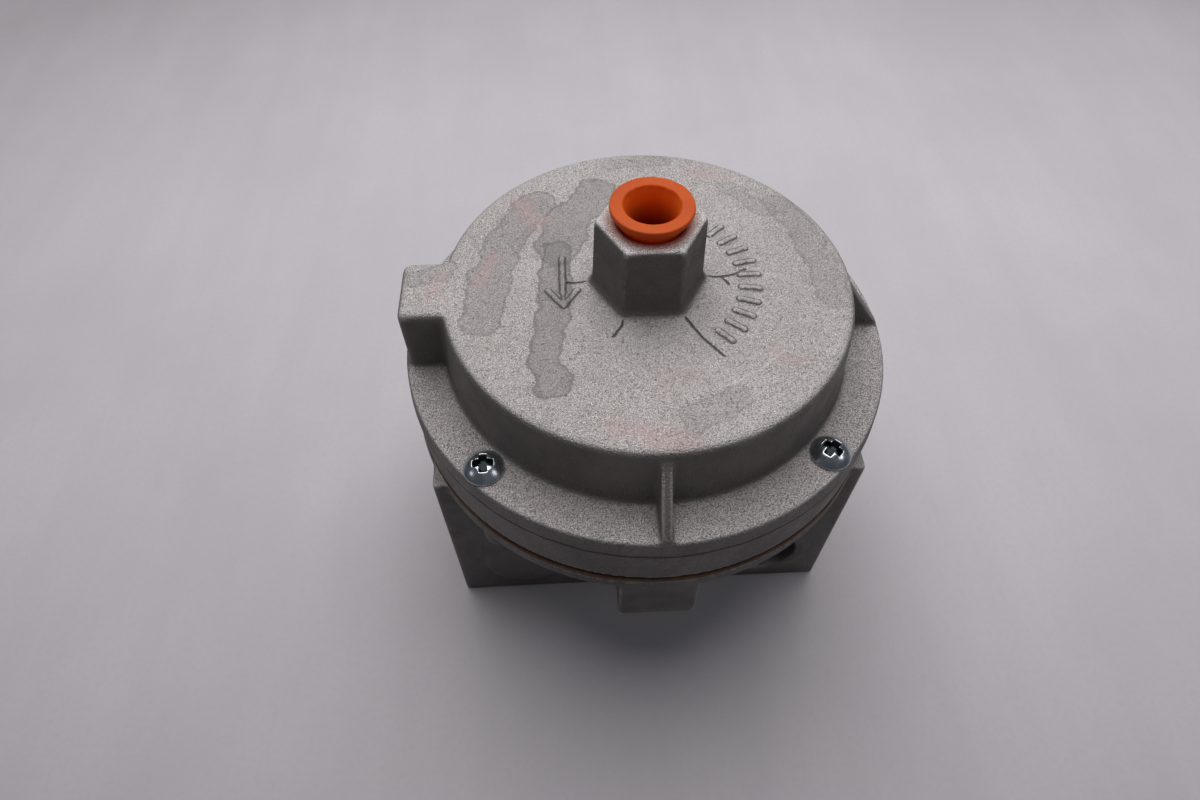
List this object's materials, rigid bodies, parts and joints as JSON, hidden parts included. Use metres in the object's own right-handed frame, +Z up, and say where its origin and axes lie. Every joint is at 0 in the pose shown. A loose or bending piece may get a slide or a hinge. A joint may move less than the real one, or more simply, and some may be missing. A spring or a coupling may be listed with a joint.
{
  "type": "air pressure regulator",
  "caption": "Low-pressure air regulator: round cast diaphragm cover with a hexagonal top inlet and side outlet block, on a rectangular spring housing adjusted from below",
  "frame": {"origin": "centre of the base face, on the main axis through the diaphragm, poppet and inlet", "axes": "+Z up the main axis to the inlet, -Y the front with the two round pads, -X the side of the outlet port block"},
  "size_m": [0.1, 0.1, 0.1026],
  "materials": {
    "cast_aluminium": "shot-blasted die casting, matte, light stains",
    "cast_body": "as-cast, matte",
    "fibre_gasket": "pressed vegetable fibre",
    "black_rubber": "fabric-reinforced rubber",
    "seal_rubber": "moulded, satin",
    "zinc_screw": "bright zinc plating",
    "zinc_steel": "zinc plated",
    "zinc_plate": "zinc plated pressing",
    "spring_steel": "drawn wire",
    "brass": "turned",
    "stainless_mesh": "woven wire",
    "orange_plastic": "moulded polyethylene, satin"
  },
  "bodies": {
    "housing": {"cover": "cast_aluminium", "lower_body": "cast_body", "flange_gasket": "fibre_gasket", "diaphragm": "black_rubber", "cover_screws": "zinc_screw", "inlet_screen": "stainless_mesh", "screen_ring": "spring_steel", "spring_retainer": "brass", "valve_seat": "brass", "seat_o_ring": "seal_rubber", "valve_spring": "spring_steel", "range_spring": "spring_steel", "vent_screen": "stainless_mesh"},
    "diaphragm_stack": {"upper_plate": "zinc_plate", "lower_plate": "zinc_plate", "diaphragm_screw": "zinc_steel", "lock_washer": "zinc_steel", "diaphragm_nut": "zinc_steel"},
    "poppet_valve": {"poppet": "brass", "poppet_seal": "seal_rubber"},
    "spring_button": {"spring_seat": "zinc_plate"},
    "adjuster": {"adjusting_screw": "zinc_steel"},
    "jam_nut": {"lock_nut": "zinc_steel"},
    "shipping_plug": {"inlet_plug": "orange_plastic"}
  },
  "joints": [
    {"name": "diaphragm_travel", "type": "slide", "parent": "housing", "child": "diaphragm_stack", "axis": [0, 0, 1], "range_m": [0, 0.0015], "deforming": ["diaphragm"]},
    {"name": "poppet_lift", "type": "slide", "parent": "housing", "child": "poppet_valve", "axis": [0, 0, 1], "range_m": [0, 0.0015], "deforming": ["valve_spring"]},
    {"name": "spring_seat_travel", "type": "slide", "parent": "housing", "child": "spring_button", "axis": [0, 0, 1], "range_m": [0, 0.005], "deforming": ["range_spring"]},
    {"name": "adjusting_turn", "type": "hinge", "parent": "spring_button", "child": "adjuster", "pos_m": [0, 0, 0.0107], "axis": [0, 0, 1], "range_deg": [0, 1440]},
    {"name": "lock_nut_turn", "type": "hinge", "parent": "housing", "child": "jam_nut", "pos_m": [0, 0, 0.008], "axis": [0, 0, 1], "range_deg": [-90, 0]},
    {"name": "plug_pull", "type": "slide", "parent": "housing", "child": "shipping_plug", "axis": [0, 0, 1], "range_m": [0, 0.03]}
  ],
  "couplings": [
    {"joint": "poppet_lift", "follows": "diaphragm_travel", "ratio": 1},
    {"joint": "adjusting_turn", "follows": "spring_seat_travel", "rad_per_m": 5026.5}
  ]
}
